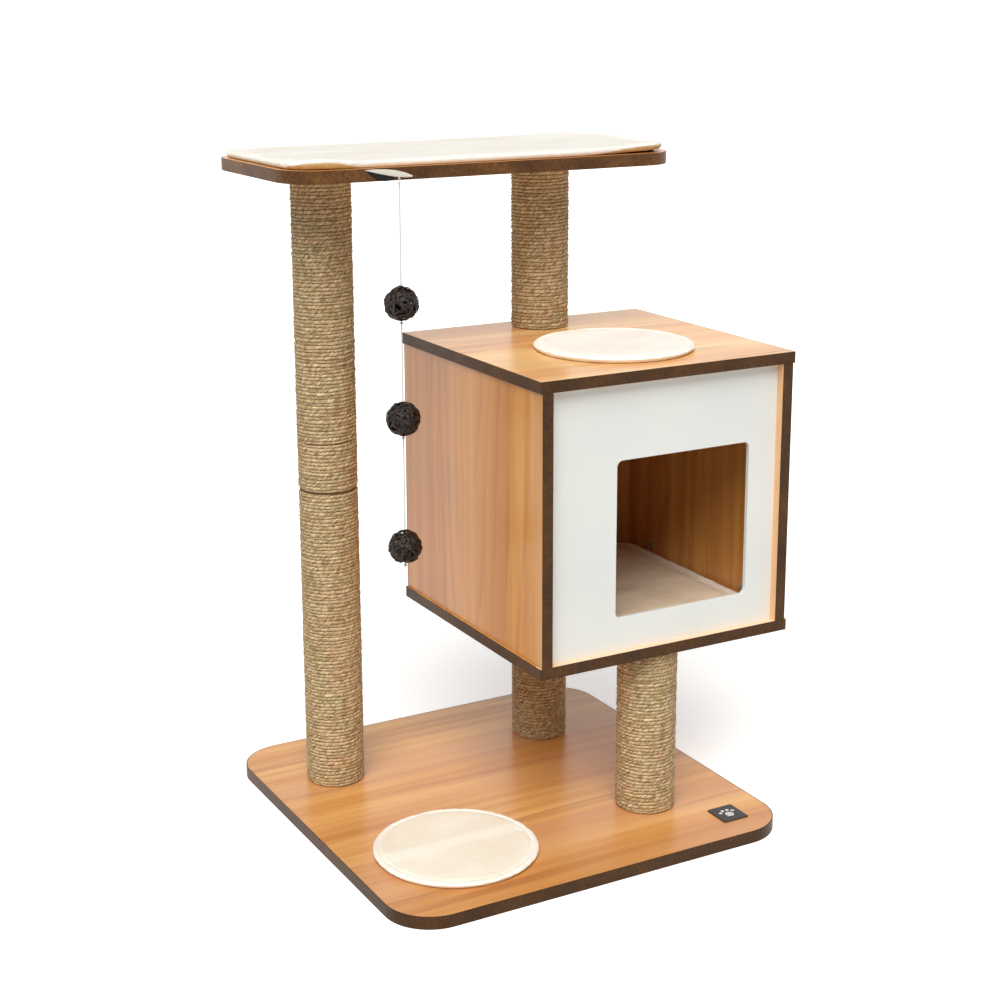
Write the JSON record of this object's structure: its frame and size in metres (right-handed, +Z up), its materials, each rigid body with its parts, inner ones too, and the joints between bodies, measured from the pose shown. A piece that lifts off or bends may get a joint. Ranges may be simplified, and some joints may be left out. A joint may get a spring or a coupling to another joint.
{
  "type": "cat tree",
  "caption": "Free-standing cat tree: square base, rope-wrapped scratching posts, cube den with a square door, long platform, cushions and a hanging toy.",
  "frame": {"origin": "centre of the base's underside, on the floor", "axes": "+Z up; the den's door faces -Y; the tall post stands towards -X and the den towards +X"},
  "size_m": [0.612, 0.56, 0.8718],
  "materials": {
    "walnut_laminate": "satin",
    "brown_edge_band": "satin",
    "white_board": "satin",
    "seagrass_rope": "matte",
    "cardboard": "matte",
    "plug_wood": "matte",
    "zinc_steel": "satin",
    "cream_fleece": "matte",
    "hook_tape": "matte",
    "badge_black": "satin",
    "badge_silver": "satin",
    "white_webbing": "matte",
    "white_string": "matte",
    "black_weave": "satin"
  },
  "bodies": {
    "tree": {"base_board": "walnut_laminate", "base_edge_band": "brown_edge_band", "badge_plate": "badge_black", "badge_mark": "badge_silver", "tall_post_lower_tube": "cardboard", "tall_post_lower_rope": "seagrass_rope", "tall_post_lower_plugs": "plug_wood", "tall_post_upper_tube": "cardboard", "tall_post_upper_rope": "seagrass_rope", "tall_post_upper_plugs": "plug_wood", "front_post_tube": "cardboard", "front_post_rope": "seagrass_rope", "front_post_plugs": "plug_wood", "back_post_tube": "cardboard", "back_post_rope": "seagrass_rope", "back_post_plugs": "plug_wood", "upper_post_tube": "cardboard", "upper_post_rope": "seagrass_rope", "upper_post_plugs": "plug_wood", "post_inserts": "zinc_steel", "tall_post_stud": "zinc_steel", "post_bolts": "zinc_steel", "post_bolt_washers": "zinc_steel", "den_floor_panel": "walnut_laminate", "den_top_panel": "walnut_laminate", "den_left_panel": "walnut_laminate", "den_right_panel": "walnut_laminate", "den_back_panel": "walnut_laminate", "den_front_panel": "white_board", "den_floor_edge_band": "brown_edge_band", "den_top_edge_band": "brown_edge_band", "den_left_edge_bands": "brown_edge_band", "den_right_edge_bands": "brown_edge_band", "den_dowels": "plug_wood", "den_cam_bolts": "zinc_steel", "den_cam_discs": "zinc_steel", "platform_board": "walnut_laminate", "platform_edge_band": "brown_edge_band", "base_hook_pads": "hook_tape", "den_roof_hook_pads": "hook_tape", "den_hook_pads": "hook_tape", "platform_hook_pads": "hook_tape", "toy_strap": "white_webbing", "toy_strap_backing": "hook_tape"},
    "base_cushion": {"base_cushion": "cream_fleece"},
    "den_roof_cushion": {"den_roof_cushion": "cream_fleece"},
    "den_cushion": {"den_cushion": "cream_fleece"},
    "platform_cushion": {"platform_cushion": "cream_fleece"},
    "toy_hanger": {"toy_hanging_knot": "white_string"},
    "toy_upper": {"toy_string_upper": "white_string", "toy_ball_upper": "black_weave", "toy_knot_upper": "white_string"},
    "toy_middle": {"toy_string_middle": "white_string", "toy_ball_middle": "black_weave", "toy_knot_middle": "white_string"},
    "toy_lower": {"toy_string_lower": "white_string", "toy_ball_lower": "black_weave", "toy_knot_lower": "white_string"}
  },
  "joints": [
    {"name": "base_cushion_lift", "type": "slide", "parent": "tree", "child": "base_cushion", "axis": [0, 0, 1], "range_m": [0, 0.1]},
    {"name": "den_roof_cushion_lift", "type": "slide", "parent": "tree", "child": "den_roof_cushion", "axis": [0, 0, 1], "range_m": [0, 0.1]},
    {"name": "den_cushion_lift", "type": "slide", "parent": "tree", "child": "den_cushion", "axis": [0, 0, 1], "range_m": [0, 0.08]},
    {"name": "platform_cushion_lift", "type": "slide", "parent": "tree", "child": "platform_cushion", "axis": [0, 0, 1], "range_m": [0, 0.1]},
    {"name": "toy_swing_side", "type": "hinge", "parent": "tree", "child": "toy_hanger", "pos_m": [-0.139, 0, 0.844], "axis": [0, 1, 0], "range_deg": [-8, 50]},
    {"name": "toy_swing_fore", "type": "hinge", "parent": "toy_hanger", "child": "toy_upper", "pos_m": [-0.139, 0, 0.8414], "axis": [1, 0, 0], "range_deg": [-45, 10]},
    {"name": "toy_middle_swing", "type": "hinge", "parent": "toy_upper", "child": "toy_middle", "pos_m": [-0.139, 0, 0.6678], "axis": [1, 0, 0], "range_deg": [-40, 10]},
    {"name": "toy_lower_swing", "type": "hinge", "parent": "toy_middle", "child": "toy_lower", "pos_m": [-0.139, 0, 0.5208], "axis": [1, 0, 0], "range_deg": [-40, 20]}
  ]
}
